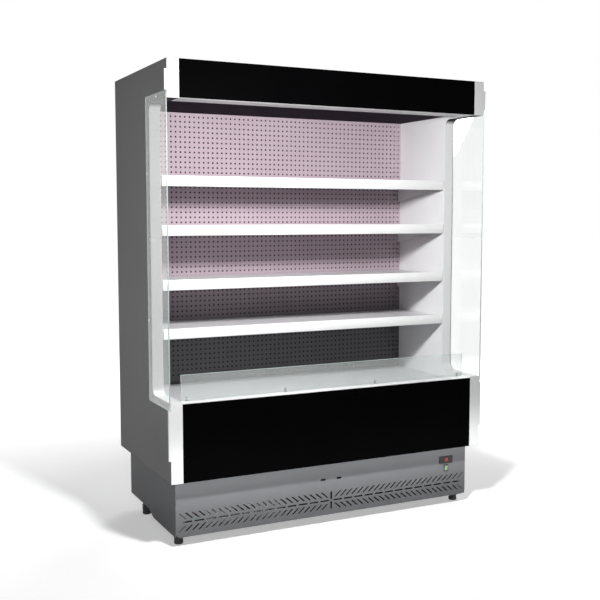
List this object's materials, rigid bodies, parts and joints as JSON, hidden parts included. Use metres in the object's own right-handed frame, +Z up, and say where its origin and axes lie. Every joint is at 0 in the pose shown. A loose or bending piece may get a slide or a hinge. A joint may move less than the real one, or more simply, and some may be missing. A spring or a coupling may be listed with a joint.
{
  "type": "open multideck display fridge",
  "caption": "Tall open-front refrigerated display cabinet with hook-on shelves, clear side panes, a riser glass and a chevron-slotted plinth on adjustable feet.",
  "frame": {"origin": "on the floor, under the middle of the cabinet's bounding box", "axes": "+X to the right-hand side as seen from in front, -Y to the front, +Z up"},
  "size_m": [1.58, 0.76, 2.03],
  "materials": {
    "foamed_panel": "satin",
    "white_paint": "satin",
    "black_panel": "gloss",
    "grey_paint": "satin",
    "pinkish_grey_paint": "satin",
    "dark_paint": "matte",
    "clear_glass": "gloss",
    "white_plastic": "gloss",
    "lamp_opal": "gloss",
    "grey_plastic": "matte",
    "black_plastic": "matte",
    "display_window": "gloss",
    "green_plastic": "gloss",
    "zinc_steel": "satin",
    "fin_aluminium": "satin",
    "copper": "satin",
    "black_rubber": "matte"
  },
  "bodies": {
    "cabinet": {"side_wall_left": "foamed_panel", "side_wall_right": "foamed_panel", "rear_wall": "foamed_panel", "roof_panel": "foamed_panel", "tub": "foamed_panel", "canopy_trim_left": "white_paint", "canopy_trim_right": "white_paint", "lower_trim_left": "white_paint", "lower_trim_right": "white_paint", "canopy_lip": "white_paint", "front_rail": "white_paint", "return_air_grille": "white_paint", "canopy_front_panel": "black_panel", "lower_front_panel": "black_panel", "plinth_grille": "grey_paint", "plinth_side_left": "grey_paint", "plinth_side_right": "grey_paint", "rear_grille": "grey_paint", "back_panel": "pinkish_grey_paint", "slotted_uprights": "pinkish_grey_paint", "ceiling_panel": "dark_paint", "canopy_liner": "dark_paint", "compressor": "dark_paint", "evaporator_fan_motors": "dark_paint", "condenser_fan_motor": "dark_paint", "side_pane_left": "clear_glass", "side_pane_right": "clear_glass", "riser_glass": "clear_glass", "lamp_tube": "lamp_opal", "air_honeycomb": "grey_plastic", "controller_case": "black_plastic", "switch_bezel": "black_plastic", "cord_gland": "black_plastic", "evaporation_tray": "black_plastic", "controller_window": "display_window", "glass_fixings": "zinc_steel", "base_frame": "zinc_steel", "evaporator_fan_plate": "zinc_steel", "evaporator": "fin_aluminium", "condenser": "fin_aluminium", "refrigerant_pipes": "copper"},
    "shelf_1_body": {"shelf_1": "white_paint", "ticket_strip_1": "white_plastic"},
    "shelf_2_body": {"shelf_2": "white_paint", "ticket_strip_2": "white_plastic"},
    "shelf_3_body": {"shelf_3": "white_paint", "ticket_strip_3": "white_plastic"},
    "shelf_4_body": {"shelf_4": "white_paint", "ticket_strip_4": "white_plastic"},
    "deck": {"deck_tray": "white_paint"},
    "rocker": {"switch_rocker": "green_plastic"},
    "condenser_rotor": {"condenser_fan": "black_plastic"},
    "evaporator_rotor_left": {"evaporator_fan_left": "black_plastic"},
    "evaporator_rotor_right": {"evaporator_fan_right": "black_plastic"},
    "left_key": {"key_left": "grey_plastic"},
    "right_key": {"key_right": "grey_plastic"},
    "foot_left_front_body": {"foot_left_front": "black_rubber"},
    "foot_left_rear_body": {"foot_left_rear": "black_rubber"},
    "foot_right_front_body": {"foot_right_front": "black_rubber"},
    "foot_right_rear_body": {"foot_right_rear": "black_rubber"}
  },
  "joints": [
    {"name": "shelf_1_tilt", "type": "hinge", "parent": "cabinet", "child": "shelf_1_body", "pos_m": [0, 0.2615, 1.553], "axis": [-1, 0, 0], "range_deg": [0, 10]},
    {"name": "shelf_2_tilt", "type": "hinge", "parent": "cabinet", "child": "shelf_2_body", "pos_m": [0, 0.2615, 1.3397], "axis": [-1, 0, 0], "range_deg": [0, 10]},
    {"name": "shelf_3_tilt", "type": "hinge", "parent": "cabinet", "child": "shelf_3_body", "pos_m": [0, 0.2615, 1.1027], "axis": [-1, 0, 0], "range_deg": [0, 10]},
    {"name": "shelf_4_tilt", "type": "hinge", "parent": "cabinet", "child": "shelf_4_body", "pos_m": [0, 0.2615, 0.8894], "axis": [-1, 0, 0], "range_deg": [0, 10]},
    {"name": "deck_lift", "type": "slide", "parent": "cabinet", "child": "deck", "axis": [0, 0, 1], "range_m": [0, 0.12]},
    {"name": "rocker_tilt", "type": "hinge", "parent": "cabinet", "child": "rocker", "pos_m": [0.632, -0.3257, 0.183], "axis": [-1, 0, 0], "range_deg": [0, 18]},
    {"name": "evaporator_fan_left_spin", "type": "hinge", "parent": "cabinet", "child": "evaporator_rotor_left", "pos_m": [-0.35, -0.19, 0.46835], "axis": [0, 1, 0], "continuous": true},
    {"name": "evaporator_fan_right_spin", "type": "hinge", "parent": "cabinet", "child": "evaporator_rotor_right", "pos_m": [0.35, -0.19, 0.46835], "axis": [0, 1, 0], "continuous": true},
    {"name": "condenser_fan_spin", "type": "hinge", "parent": "cabinet", "child": "condenser_rotor", "pos_m": [-0.415, -0.224, 0.16], "axis": [0, 1, 0], "continuous": true},
    {"name": "key_left_press", "type": "slide", "parent": "cabinet", "child": "left_key", "axis": [0, 1, 0], "range_m": [0, 0.0008], "stiffness_N_per_m": 600, "springref_m": -0.0008},
    {"name": "key_right_press", "type": "slide", "parent": "cabinet", "child": "right_key", "axis": [0, 1, 0], "range_m": [0, 0.0008], "stiffness_N_per_m": 600, "springref_m": -0.0008},
    {"name": "foot_left_front_adjust", "type": "slide", "parent": "cabinet", "child": "foot_left_front_body", "axis": [0, 0, -1], "range_m": [0, 0.02]},
    {"name": "foot_left_rear_adjust", "type": "slide", "parent": "cabinet", "child": "foot_left_rear_body", "axis": [0, 0, -1], "range_m": [0, 0.02]},
    {"name": "foot_right_front_adjust", "type": "slide", "parent": "cabinet", "child": "foot_right_front_body", "axis": [0, 0, -1], "range_m": [0, 0.02]},
    {"name": "foot_right_rear_adjust", "type": "slide", "parent": "cabinet", "child": "foot_right_rear_body", "axis": [0, 0, -1], "range_m": [0, 0.02]}
  ]
}
